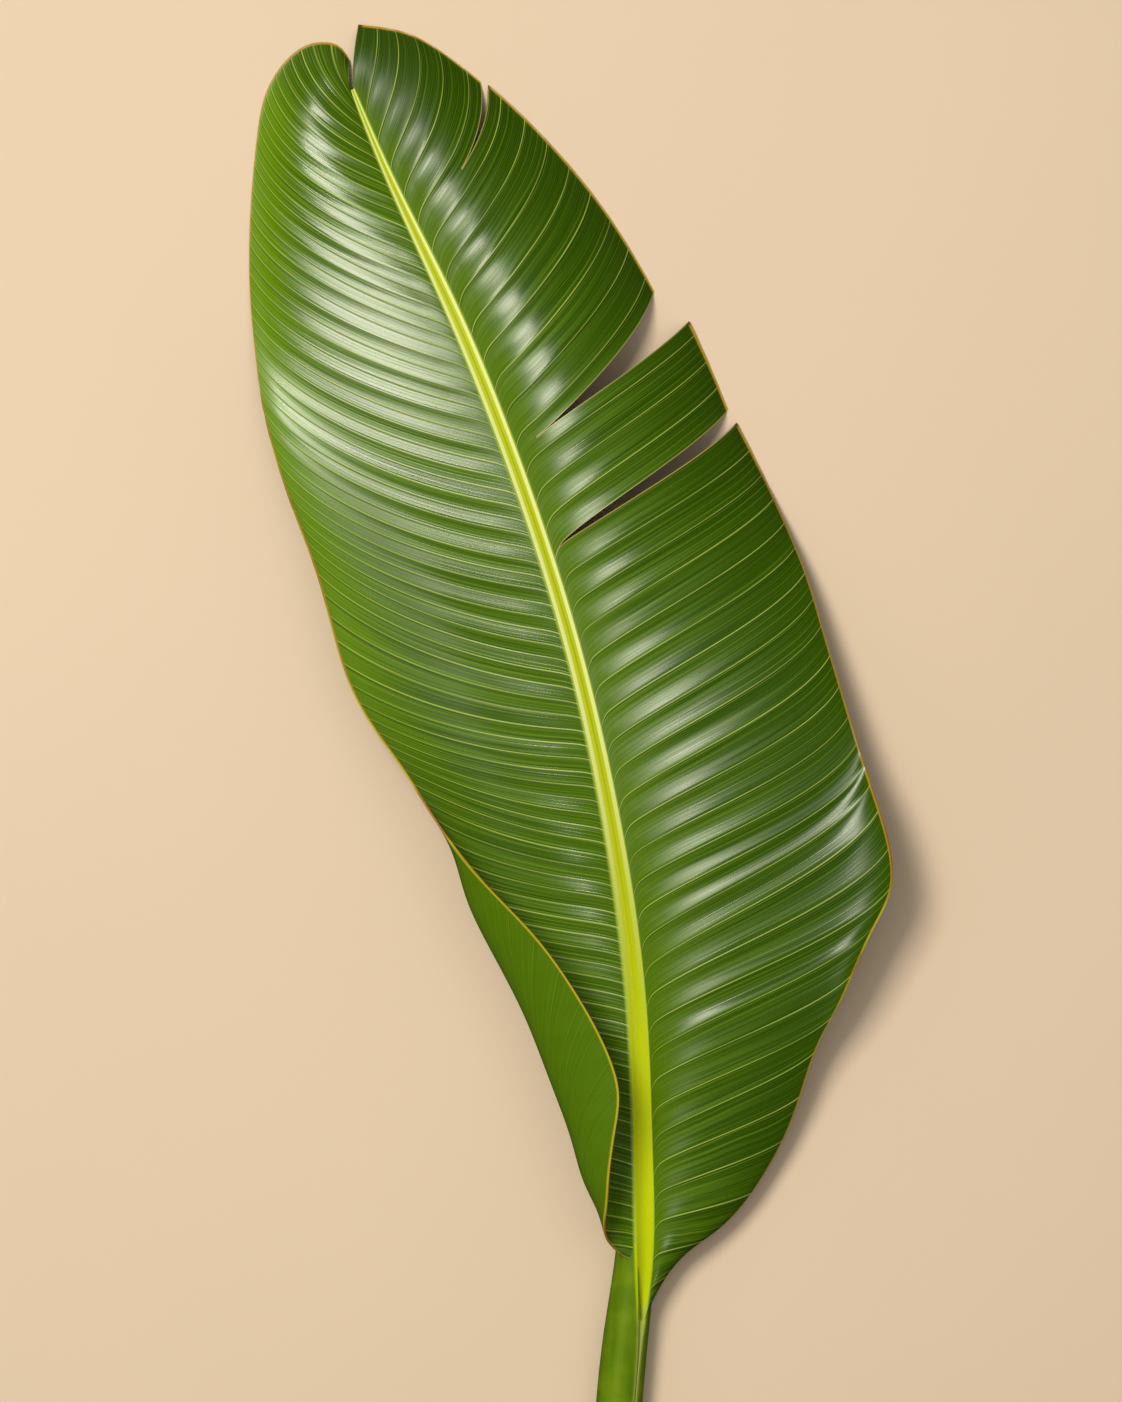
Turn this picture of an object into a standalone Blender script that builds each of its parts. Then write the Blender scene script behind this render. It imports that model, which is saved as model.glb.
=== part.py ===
"""A cut leaf of the white bird of paradise, laid face up on a flat surface.

The leaf grew as one piece, so it is one solid: a round grooved stalk that runs on under the blade as
its rib, and the two halves of the blade, which are thin pleated sheets rooted in that rib. Three tears
run in from the right edge, and the lower left edge curls up and over.

The drawing frame has its origin at the throat, where the blade meets the stalk: +Y runs up the leaf,
+X to its right and +Z away from the surface it lies on. Sizes are in millimetres.
"""

import bmesh
import bpy
import numpy as np

MM = 0.001

# Driving sizes.
BLADE_HEIGHT = 592.0  # from the throat to the tip of the rib, along Y
STALK_LENGTH = 192.0  # from the throat down to the cut end, along Y
SHEET_THICKNESS = 0.9
BOX_CENTRE = (-35.35, 215.62)  # middle of the leaf's box in the drawing frame, which becomes the origin

# The groove line on the upper side of the stalk and rib: (Y, X, Z).
RIB_LINE = (
    (-192, -14.5, 19.0),
    (-100, -8.2, 19.3),
    (-37, -3.8, 20.4),
    (20, 0.3, 21.3),
    (80, 0.0, 22.4),
    (150, -3.0, 24.6),
    (236, -14.4, 27.6),
    (323, -33.6, 29.4),
    (409, -61.0, 28.6),
    (495, -96.0, 22.0),
    (553, -123.4, 13.5),
    (592, -139.7, 7.0),
)

# How the stalk and rib change along the leaf: (Y, half width of the groove, half width of the whole,
# depth below the groove line, depth of the groove, roll to the right in degrees).
RIB_SECTIONS = (
    (-192, 1.1, 11.4, 22.8, 1.6, 42),
    (-60, 1.1, 11.1, 22.2, 1.6, 42),
    (-8, 1.3, 10.8, 21.6, 1.4, 41),
    (25, 4.2, 9.8, 19.5, 1.2, 32),
    (70, 4.6, 8.4, 16.6, 1.2, 16),
    (150, 4.4, 7.2, 13.8, 1.2, 2),
    (300, 3.7, 6.0, 11.0, 1.1, -4),
    (420, 3.4, 5.0, 8.2, 1.0, -2),
    (500, 2.9, 3.9, 5.6, 0.8, 0),
    (560, 1.5, 2.1, 3.2, 0.5, 0),
    (592, 0.9, 1.3, 2.6, 0.3, 0),
)

# Where the vein that leaves the rib at height Y meets the edge of the blade: (Y, edge X, edge Y).
LEFT_EDGE = (
    (2, -0.8, 6),
    (14, -2.2, 20),
    (24, -6.7, 29),
    (34, -14.5, 37),
    (42, -18.2, 45),
    (50, -17.4, 56),
    (60, -16.4, 70),
    (75, -13.8, 91),
    (97, -12.0, 114),
    (115, -18.0, 133),
    (135, -29.0, 154),
    (160, -49.0, 183),
    (188, -76.0, 212),
    (216, -99.4, 242),
    (235, -113.5, 264),
    (254, -125.5, 281),
    (280, -142.0, 311),
    (303, -153.0, 349),
    (341, -169.0, 394),
    (371, -180.3, 430),
    (410, -187.0, 470),
    (440, -189.3, 500),
    (474, -188.8, 535),
    (511, -185.9, 568),
    (530, -183.4, 584),
    (548, -178.4, 597),
    (562, -171.5, 606.5),
    (575, -162.0, 613.5),
    (583, -153.5, 615),
    (588, -145.8, 612.8),
    (592, -140.9, 606),
)
RIGHT_EDGE = (
    (2, 2.0, 5),
    (10, 7.5, 16),
    (18, 14.0, 26),
    (26, 24.0, 36),
    (34, 38.5, 47),
    (42, 51.5, 62),
    (50, 61.5, 78),
    (67, 73.8, 106),
    (84, 82.5, 133),
    (102, 93.5, 156),
    (121, 107.5, 189),
    (136, 116.8, 210),
    (149.6, 116.2, 229.5),
    (165, 110.5, 250),
    (191, 104.0, 270),
    (223, 95.0, 300),
    (255, 84.5, 335),
    (281, 77.0, 360),
    (320, 62.5, 395),
    (364, 43.0, 435),
    (411, 13.5, 488),
    (449, -14.0, 530),
    (484, -44.0, 565),
    (518, -76.1, 595),
    (543, -102.0, 614),
    (570, -122.0, 621.5),
    (592, -136.8, 623.5),
)

# Heights along a vein: (Y, first handle, second handle, edge).
LEFT_HEIGHTS = (
    (2, 17, 15, 13),
    (30, 22, 24, 26),
    (45, 24, 34, 42),
    (68, 23, 42, 54),
    (110, 18, 44, 58),
    (167, 14, 39, 56),
    (215, 13, 32, 46),
    (270, 15, 25, 36),
    (340, 19.5, 19, 22),
    (385, 22, 15, 11),
    (430, 23.5, 12.5, 2),
    (500, 19, 9.5, -0.5),
    (553, 16, 14, -1.5),
    (592, 9, 9, 0),
)
RIGHT_HEIGHTS = (
    (2, 19, 18, 16),
    (30, 26, 22, 14),
    (70, 34, 25, 21),
    (106, 42, 25, 38),
    (130, 44, 27, 45),
    (200, 42, 37, 32),
    (250, 39, 42, 23),
    (290, 39, 38, 12),
    (335, 41, 37, 1),
    (372, 42, 38, -1),
    (440, 41, 33, -1.5),
    (500, 30, 24, -1.5),
    (550, 19, 17, -1),
    (592, 9, 9, 0),
)

# How far the folded lower left edge reaches out past where it ends: (Y, reach).
LEFT_FOLD = (
    (2, 0),
    (34, 0),
    (42, 5),
    (50, 14),
    (60, 26),
    (75, 39),
    (97, 54),
    (135, 60),
    (160, 58),
    (188, 41),
    (205, 21),
    (222, 5),
    (240, 0),
    (592, 0),
)

# How a vein bends, by two handles, each a share of the chord long and turned by some degrees from it:
# (Y, first share, first turn, last share, last turn). The first turn is anticlockwise, and the last is
# towards the tip.
LEFT_BEND = (
    (2, 0.32, 5, 0.20, 0),
    (100, 0.35, 5, 0.25, 0),
    (200, 0.45, 10, 0.20, 5),
    (300, 0.45, 15, 0.20, 22),
    (400, 0.45, 17, 0.20, 36),
    (500, 0.45, 17, 0.22, 36),
    (560, 0.40, 20, 0.30, 32),
    (592, 0.40, 10, 0.30, 15),
)
RIGHT_BEND = (
    (2, 0.20, 0, 0.20, 10),
    (60, 0.22, 8, 0.20, 14),
    (150, 0.22, 9, 0.24, 27),
    (250, 0.22, 9, 0.24, 27),
    (364, 0.22, 4, 0.22, 15),
    (411, 0.22, -3, 0.25, 18),
    (470, 0.24, -6, 0.30, 24),
    (518, 0.25, -8, 0.38, 30),
    (570, 0.25, -4, 0.34, 24),
    (592, 0.32, 13, 0.30, -5),
)
# A vein leaves the rib along it, and swings out within a few millimetres: how far along, how fast.
ROOT_RISE = (1.5, 6.0)  # left, right
ROOT_SWING = 2.5

# Pleats run out along the veins, with a ridge on each main vein. A tear runs along a ridge or valley.
PLEATS = 44
PLEAT_DEPTHS = (0.8, 1.3)  # left, right
TORN_PLEATS = (27, 30.5, 38.5)
TEAR_STARTS = (0.04, 0.16, 0.50)  # share of the way from the rib to the edge
TEAR_GROWTH = (0.65, 1.45, 1.0)  # below 1 a tear gapes early, above 1 it opens towards the edge
# How far the two corners at each tear have drawn apart: (corner below, corner above), each X, Y, Z.
TEAR_CORNERS = (
    ((2.1, -3.1, 1.0), (-2.1, 3.1, -1.0)),
    ((8.6, -7.2, 1.5), (-8.2, 7.2, 0.0)),
    ((1.7, -0.7, 1.0), (-1.7, 0.7, 0.0)),
)

TABLE_CLEARANCE = 0.62  # lowest that the upper face of the blade comes
TABLE_SOFTNESS = 1.2  # over this height the sagging edge flattens out on the surface

# Mesh density.
COLUMNS = 10
RING_POINTS = 15
RING_STEP = 18.0
SUNK = 0.6  # how far below the groove a sheet's root lies in the rib


def spline(stations, values, at):
    """Natural cubic spline through (stations, values), read at the given places."""
    x = np.asarray(stations, float)
    y = np.asarray(values, float)
    at = np.asarray(at, float)
    gap = np.diff(x)
    slope = np.diff(y) / gap
    system = np.eye(len(x))
    wanted = np.zeros(len(x))
    for i in range(1, len(x) - 1):
        system[i, i - 1 : i + 2] = gap[i - 1], 2 * (gap[i - 1] + gap[i]), gap[i]
        wanted[i] = 6 * (slope[i] - slope[i - 1])
    bend = np.linalg.solve(system, wanted)
    i = np.clip(np.searchsorted(x, at) - 1, 0, len(gap) - 1)
    a = (x[i + 1] - at) / gap[i]
    b = 1 - a
    curved = ((a**3 - a) * bend[i] + (b**3 - b) * bend[i + 1]) * gap[i] ** 2 / 6
    return a * y[i] + b * y[i + 1] + curved


def columns_of(table, at):
    """Every column of a table whose first column is Y, read at the given heights."""
    rows = np.asarray(table, float)
    return [spline(rows[:, 0], rows[:, k], at) for k in range(1, rows.shape[1])]


def rib_frames(y):
    """Points on the groove line, with unit vectors across to the right and up out of the groove."""
    x, z = columns_of(RIB_LINE, y)
    step = 1.0
    x_next, z_next = columns_of(RIB_LINE, y + step)
    along = np.stack([x_next - x, np.full_like(y, step), z_next - z], axis=-1)
    along /= np.linalg.norm(along, axis=-1, keepdims=True)
    level = np.cross(along, (0.0, 0.0, 1.0))
    level /= np.linalg.norm(level, axis=-1, keepdims=True)
    upright = np.cross(level, along)
    roll = np.radians(columns_of(RIB_SECTIONS, y)[4])[..., None]
    across = level * np.cos(roll) - upright * np.sin(roll)
    up = upright * np.cos(roll) + level * np.sin(roll)
    return np.stack([x, y, z], axis=-1), across, up


def on_surface(z):
    """Heights with the part that would sink into the surface flattened onto it."""
    over = z - TABLE_CLEARANCE
    return TABLE_CLEARANCE + 0.5 * (over + np.sqrt(over**2 + TABLE_SOFTNESS**2))


def blade_points(side, y, s):
    """The upper face of one half of the blade, side -1 left or +1 right. A vein is a cubic curve from
    the rib at height y, where s is 0, to the edge, where s is 1, and y and s are arrays of one shape.
    """
    centre, across, _ = rib_frames(y)
    half_width = columns_of(RIB_SECTIONS, y)[0]
    root = centre + across * (side * half_width)[..., None]
    edge_x, edge_y = columns_of(LEFT_EDGE if side < 0 else RIGHT_EDGE, y)
    first_share, first_turn, last_share, last_turn = columns_of(
        LEFT_BEND if side < 0 else RIGHT_BEND, y
    )
    heights = columns_of(LEFT_HEIGHTS if side < 0 else RIGHT_HEIGHTS, y)
    rise = ROOT_RISE[int(side > 0)] * np.clip((BLADE_HEIGHT - y) / 60, 0, 1) * np.clip(y / 40, 0, 1)
    start = root[..., 0] + 1j * (root[..., 1] + rise)
    end = edge_x + 1j * edge_y
    chord = end - start
    first = start + first_share * chord * np.exp(1j * np.radians(first_turn))
    last = end - last_share * chord * np.exp(1j * side * np.radians(last_turn))
    if side < 0:
        fold = np.maximum(columns_of(LEFT_FOLD, y)[0], 0)
        first = first - 0.5 * fold
        last = last - fold
    weights = ((1 - s) ** 3, 3 * s * (1 - s) ** 2, 3 * s**2 * (1 - s), s**3)
    plan = sum(w * p for w, p in zip(weights, (start, first, last, end)))
    plan -= 1j * rise * np.exp(-s * np.abs(chord) / ROOT_SWING) * (1 - s)
    z = sum(w * p for w, p in zip(weights, (root[..., 2], *heights)))
    return np.stack([plan.real, plan.imag, on_surface(z)], axis=-1)


def pleat_heights(side, row, s):
    """Ridges on the even rows and valleys between, fading out at the rib and softer at the edge."""
    ridge = 0.5 - (row % 2)
    return PLEAT_DEPTHS[int(side > 0)] * ridge * np.clip(s / 0.12, 0, 1) * (1 - 0.5 * s)


def sheet_strip(side, first_row, last_row, pulls):
    """Points and triangles of one strip of the blade between two rows of its grid. pulls holds, for its
    lower and upper corner, how far the corner has moved, where along the vein the tear starts and how
    it widens."""
    total = 2 * PLEATS
    rows = np.arange(first_row, last_row + 1)
    first_height = 2.0
    heights = first_height + (BLADE_HEIGHT - first_height) * rows / total
    shares = np.linspace(0, 1, COLUMNS) ** 0.9
    y, s = np.meshgrid(heights, shares, indexing="ij")
    points = blade_points(side, y, s)
    points[..., 2] += pleat_heights(side, rows[:, None], s)
    across_strip = ((rows - first_row) / (last_row - first_row))[:, None]
    for (move, start, growth), share in zip(pulls, (1 - across_strip, across_strip)):
        torn = np.clip((s - start) / (1 - start), 0, 1) ** growth
        points += (share * torn)[..., None] * np.array(move)
    points[..., 2] = np.maximum(points[..., 2], TABLE_CLEARANCE)
    centre, across, up = rib_frames(heights)
    half_width, _, _, groove_depth, _ = columns_of(RIB_SECTIONS, heights)
    inward = side * 0.45 * half_width
    rooted = centre + across * inward[:, None] - up * (groove_depth + SUNK)[:, None]
    points = np.concatenate([rooted[:, None], points], axis=1)
    count = points.shape[1]
    corner = np.arange(len(rows) - 1)[:, None] * count + np.arange(count - 1)
    low_in, low_out, high_out, high_in = corner, corner + 1, corner + 1 + count, corner + count
    if side < 0:
        low_in, low_out, high_out, high_in = low_out, low_in, high_in, high_out
    triangles = np.stack([low_in, low_out, high_out, low_in, high_out, high_in], axis=-1)
    return points.reshape(-1, 3), triangles.reshape(-1, 3)


def mesh_object(name, points, faces, collection):
    """A mesh object from points in millimetres of the drawing frame."""
    shifted = (np.asarray(points) - (*BOX_CENTRE, 0.0)) * MM
    mesh = bpy.data.meshes.new(name)
    mesh.from_pydata(shifted.tolist(), [], [list(map(int, face)) for face in faces])
    made = bpy.data.objects.new(name, mesh)
    collection.objects.link(made)
    return made


def blade_half(name, side, collection):
    """One half of the blade: its strips joined where they aren't torn, and given their thickness."""
    none = ((0.0, 0.0, 0.0), 0.5, 1.0)
    pleats, pulls = [0, PLEATS], [none, none]
    if side > 0:
        pleats = [0, *TORN_PLEATS, PLEATS]
        pulls = [none]
        for (below, above), start, growth in zip(TEAR_CORNERS, TEAR_STARTS, TEAR_GROWTH):
            pulls += [(below, start, growth), (above, start, growth)]
        pulls.append(none)
    points, faces, used = [], [], 0
    for i in range(len(pleats) - 1):
        first_row, last_row = int(2 * pleats[i]), int(2 * pleats[i + 1])
        more, triangles = sheet_strip(side, first_row, last_row, pulls[2 * i : 2 * i + 2])
        points.append(more)
        faces.append(triangles + used)
        used += len(more)
    half = mesh_object(name, np.concatenate(points), np.concatenate(faces), collection)
    work = bmesh.new()
    work.from_mesh(half.data)
    bmesh.ops.remove_doubles(work, verts=work.verts, dist=0.00002)
    work.to_mesh(half.data)
    work.free()
    thicken = half.modifiers.new("thickness", "SOLIDIFY")
    thicken.thickness = SHEET_THICKNESS * MM
    thicken.offset = -1
    return half


def stalk_and_rib(collection):
    """The stalk and rib as one tube: rings round the groove line, closed at the cut end and the tip."""
    count = int((STALK_LENGTH + BLADE_HEIGHT) / RING_STEP)
    y = np.linspace(-STALK_LENGTH, BLADE_HEIGHT, count)
    centre, across, up = rib_frames(y)
    groove, half, depth, groove_depth, _ = columns_of(RIB_SECTIONS, y)
    opening = np.arcsin(groove / half)
    tall = depth / (1 + np.cos(opening))
    turn = np.linspace(opening, 2 * np.pi - opening, RING_POINTS, axis=1)
    sideways = half[:, None] * np.sin(turn)
    upwards = tall[:, None] * (np.cos(turn) - np.cos(opening)[:, None])
    sideways = np.concatenate([np.zeros((count, 1)), sideways], axis=1)
    upwards = np.concatenate([-groove_depth[:, None], upwards], axis=1)
    rings = centre[:, None] + sideways[..., None] * across[:, None] + upwards[..., None] * up[:, None]
    around = rings.shape[1]
    here = np.arange(count - 1)[:, None] * around + np.arange(around)
    beside = np.arange(count - 1)[:, None] * around + (np.arange(around) + 1) % around
    walls = np.stack([here, beside, beside + around, here + around], axis=-1).reshape(-1, 4)
    cut_end = list(reversed(range(around)))
    tip_end = [(count - 1) * around + k for k in range(around)]
    faces = [list(wall) for wall in walls] + [cut_end, tip_end]
    return mesh_object("leaf", rings.reshape(-1, 3), faces, collection)


def leaf_material():
    """Glossy leaf green."""
    material = bpy.data.materials.new("leaf_green")
    material.use_nodes = True
    shader = material.node_tree.nodes["Principled BSDF"]
    shader.inputs["Base Color"].default_value = (0.09, 0.20, 0.02, 1)
    shader.inputs["Roughness"].default_value = 0.38
    shader.inputs["Metallic"].default_value = 0.0
    return material


def apply_modifiers(made):
    """Bakes an object's modifiers into its mesh."""
    graph = bpy.context.evaluated_depsgraph_get()
    baked = bpy.data.meshes.new_from_object(made.evaluated_get(graph))
    made.modifiers.clear()
    made.data = baked


def join(base, others):
    """Joins the objects of a collection to base with one Boolean union, then removes them."""
    union = base.modifiers.new("grown together", "BOOLEAN")
    union.operation = "UNION"
    union.operand_type = "COLLECTION"
    union.collection = others
    union.solver = "MANIFOLD"
    apply_modifiers(base)
    for made in list(others.objects):
        bpy.data.objects.remove(made)


def flat_underneath(made, collection):
    """Pares off the little of the leaf that reaches below the surface, so that it rests on a flat spot."""
    bpy.ops.mesh.primitive_cube_add(size=1, location=(0, 0, -0.05))
    below = bpy.context.object
    below.name = "below_the_surface"
    below.scale = (1.0, 1.6, 0.1)
    below.hide_render = True
    below.display_type = "WIRE"
    for owner in list(below.users_collection):
        owner.objects.unlink(below)
    collection.objects.link(below)
    pare = made.modifiers.new("flat underneath", "BOOLEAN")
    pare.operation = "DIFFERENCE"
    pare.object = below
    pare.solver = "MANIFOLD"


def main():
    for old in list(bpy.data.objects):
        bpy.data.objects.remove(old)
    leaf_parts = bpy.data.collections.new("white_bird_of_paradise_leaf")
    halves = bpy.data.collections.new("blade_halves")
    cutters = bpy.data.collections.new("cutters")
    for collection in (leaf_parts, halves, cutters):
        bpy.context.scene.collection.children.link(collection)
    leaf = stalk_and_rib(leaf_parts)
    blade_half("left_half", -1, halves)
    blade_half("right_half", 1, halves)
    join(leaf, halves)
    flat_underneath(leaf, cutters)
    leaf.data.materials.clear()
    leaf.data.materials.append(leaf_material())


main()
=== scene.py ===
"""White bird of paradise leaf, cut from the plant and laid face up: its rib and stalk, the two pleated
halves of its blade, the pale floor it lies on, and the light and camera.

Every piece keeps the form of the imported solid, at a finer grain. Sizes are in millimetres of the
drawing frame, whose origin is the throat, where the blade meets the stalk: +Y runs up the leaf, +X to
its right and +Z away from the surface it lies on.
"""

import bpy
import numpy as np
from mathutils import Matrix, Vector


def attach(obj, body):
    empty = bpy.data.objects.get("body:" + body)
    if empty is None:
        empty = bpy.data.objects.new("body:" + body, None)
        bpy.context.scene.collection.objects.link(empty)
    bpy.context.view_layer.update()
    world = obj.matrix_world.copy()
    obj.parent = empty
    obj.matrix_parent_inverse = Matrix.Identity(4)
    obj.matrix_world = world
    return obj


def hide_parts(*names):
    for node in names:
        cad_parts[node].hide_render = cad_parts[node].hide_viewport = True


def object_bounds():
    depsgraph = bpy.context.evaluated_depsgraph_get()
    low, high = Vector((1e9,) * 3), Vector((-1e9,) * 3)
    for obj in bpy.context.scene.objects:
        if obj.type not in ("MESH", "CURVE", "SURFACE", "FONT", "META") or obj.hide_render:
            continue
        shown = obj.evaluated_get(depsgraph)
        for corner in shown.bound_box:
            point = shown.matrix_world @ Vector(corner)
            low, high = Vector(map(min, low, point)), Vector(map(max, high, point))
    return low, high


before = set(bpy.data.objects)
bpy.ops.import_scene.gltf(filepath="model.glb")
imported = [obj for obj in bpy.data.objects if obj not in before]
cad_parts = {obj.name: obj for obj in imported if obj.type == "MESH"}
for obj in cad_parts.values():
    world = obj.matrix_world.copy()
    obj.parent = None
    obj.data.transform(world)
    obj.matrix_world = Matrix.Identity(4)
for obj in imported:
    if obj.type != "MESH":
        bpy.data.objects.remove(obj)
solid_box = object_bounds()


# Rib and stalk.
# One round, fleshy stalk that runs on under the blade as its rib, tapering to the tip. It is solid and
# juicy, with a groove along the upper side: a thin pale line on the stalk, and on the blade a wide
# shallow yellow channel between two cream rims, whose cream is partly painted highlight.
MM = 0.001
BLADE_HEIGHT = 592.0  # from the throat to the tip of the rib, along Y
STALK_LENGTH = 192.0  # from the throat down to the cut end, along Y
BOX_CENTRE = (-35.35, 215.62)  # middle of the leaf's box in the drawing frame

# The groove line: (Y, X, Z).
RIB_LINE = (
    (-192, -14.5, 19.0),
    (-100, -8.2, 19.3),
    (-37, -3.8, 20.4),
    (20, 0.3, 21.3),
    (80, 0.0, 22.4),
    (150, -3.0, 24.6),
    (236, -14.4, 27.6),
    (323, -33.6, 29.4),
    (409, -61.0, 28.6),
    (495, -96.0, 22.0),
    (553, -123.4, 13.5),
    (592, -139.7, 7.0),
)
# How the stalk and rib change: (Y, half width of the groove, half width of the whole, depth below the
# groove line, depth of the groove, roll to the right in degrees).
RIB_SECTIONS = (
    (-192, 1.1, 11.4, 22.8, 1.6, 42),
    (-60, 1.1, 11.1, 22.2, 1.6, 42),
    (-8, 1.3, 10.8, 21.6, 1.4, 41),
    (25, 4.2, 9.8, 19.5, 1.2, 32),
    (70, 4.6, 8.4, 16.6, 1.2, 16),
    (150, 4.4, 7.2, 13.8, 1.2, 2),
    (300, 3.7, 6.0, 11.0, 1.1, -4),
    (420, 3.4, 5.0, 8.2, 1.0, -2),
    (500, 2.9, 3.9, 5.6, 0.8, 0),
    (560, 1.5, 2.1, 3.2, 0.5, 0),
    (592, 0.9, 1.3, 2.6, 0.3, 0),
)


def spline(stations, values, at):
    """Natural cubic spline through (stations, values), read at the given places."""
    x = np.asarray(stations, float)
    y = np.asarray(values, float)
    at = np.asarray(at, float)
    gap = np.diff(x)
    slope = np.diff(y) / gap
    system = np.eye(len(x))
    wanted = np.zeros(len(x))
    inner = np.arange(1, len(x) - 1)
    system[inner, inner - 1] = gap[:-1]
    system[inner, inner] = 2 * (gap[:-1] + gap[1:])
    system[inner, inner + 1] = gap[1:]
    wanted[inner] = 6 * np.diff(slope)
    bend = np.linalg.solve(system, wanted)
    i = np.clip(np.searchsorted(x, at) - 1, 0, len(gap) - 1)
    a = (x[i + 1] - at) / gap[i]
    b = 1 - a
    curved = ((a**3 - a) * bend[i] + (b**3 - b) * bend[i + 1]) * gap[i] ** 2 / 6
    return a * y[i] + b * y[i + 1] + curved


def columns_of(table, at):
    """Every column of a table whose first column is Y, read at the given heights."""
    rows = np.asarray(table, float)
    return [spline(rows[:, 0], rows[:, k], at) for k in range(1, rows.shape[1])]


def rib_frames(y):
    """Points on the groove line, with unit vectors across to the right and up out of the groove: the
    line's own direction gives the level and upright ones, and both then roll about it."""
    x, z = columns_of(RIB_LINE, y)
    step = 1.0
    x_next, z_next = columns_of(RIB_LINE, y + step)
    along = np.stack([x_next - x, np.full_like(y, step), z_next - z], axis=-1)
    along /= np.linalg.norm(along, axis=-1, keepdims=True)
    level = np.cross(along, (0.0, 0.0, 1.0))
    level /= np.linalg.norm(level, axis=-1, keepdims=True)
    upright = np.cross(level, along)
    roll = np.radians(columns_of(RIB_SECTIONS, y)[4])[..., None]
    across = level * np.cos(roll) - upright * np.sin(roll)
    up = upright * np.cos(roll) + level * np.sin(roll)
    return np.stack([x, y, z], axis=-1), across, up


def piece_from(name, points, faces, numbers, materials, looks=None):
    """A smooth mesh piece at the origin, from points in millimetres of the drawing frame. numbers are
    values that the points carry for the material, and looks gives each face its material. The finer
    curves would pass the solid's box by a fraction of a millimetre, so they are held inside it."""
    mesh = bpy.data.meshes.new(name)
    places = np.clip((points - (*BOX_CENTRE, 0.0)) * MM, *np.array(solid_box))
    mesh.from_pydata(places, [], faces)
    for word, values in numbers.items():
        mesh.attributes.new(word, "FLOAT", "POINT").data.foreach_set("value", values)
    for material in materials:
        mesh.materials.append(material)
    if looks is not None:
        mesh.polygons.foreach_set("material_index", looks)
    mesh.shade_smooth()
    mesh.set_sharp_from_angle(angle=np.radians(50.0))
    piece = bpy.data.objects.new(name, mesh)
    bpy.context.scene.collection.objects.link(piece)
    return piece


def put(tree, kind, sockets=None, **settings):
    """One shader node with its settings and sockets: a socket's value is a number, a colour or another
    node's output."""
    made = tree.nodes.new(kind)
    for word, value in settings.items():
        setattr(made, word, value)
    for key, value in (sockets or {}).items():
        if isinstance(value, bpy.types.NodeSocket):
            tree.links.new(value, made.inputs[key])
        else:
            made.inputs[key].default_value = value
    return made


def sum_of(tree, operation, *values):
    """The result of one Math node."""
    return put(tree, "ShaderNodeMath", dict(enumerate(values)), operation=operation).outputs[0]


def ramp(tree, value, low, high, to_low=0.0, to_high=1.0):
    """Value carried smoothly from low..high to to_low..to_high, and held beyond them."""
    sockets = {"Value": value, "From Min": low, "From Max": high, "To Min": to_low, "To Max": to_high}
    return put(tree, "ShaderNodeMapRange", sockets, interpolation_type="SMOOTHSTEP").outputs[0]


def blend(tree, share, under, over):
    """Two colours mixed, by the share of the one that lies over."""
    return put(tree, "ShaderNodeMix", {0: share, 6: under, 7: over}, data_type="RGBA").outputs[2]


def number(tree, word):
    """A value that the mesh's points carry."""
    return put(tree, "ShaderNodeAttribute", attribute_name=word).outputs["Fac"]


def streaks(tree, across, along, detail=3.0):
    """Noise on the plane of two values, each already scaled, from 0 to 1."""
    place = put(tree, "ShaderNodeCombineXYZ", {0: across, 1: along}).outputs[0]
    noise = put(tree, "ShaderNodeTexNoise", {"Vector": place, "Scale": 1.0, "Detail": detail})
    return noise.outputs["Fac"]


def new_material(name):
    """A material with a Principled shader, and its tree."""
    material = bpy.data.materials.new(name)
    material.use_nodes = True
    return material, material.node_tree, material.node_tree.nodes["Principled BSDF"]


def bump(tree, shader, height, strength, distance):
    """Raises the shader's surface by a height, in metres at full strength."""
    sockets = {"Strength": strength, "Distance": distance, "Height": height}
    tree.links.new(put(tree, "ShaderNodeBump", sockets).outputs[0], shader.inputs["Normal"])


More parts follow.
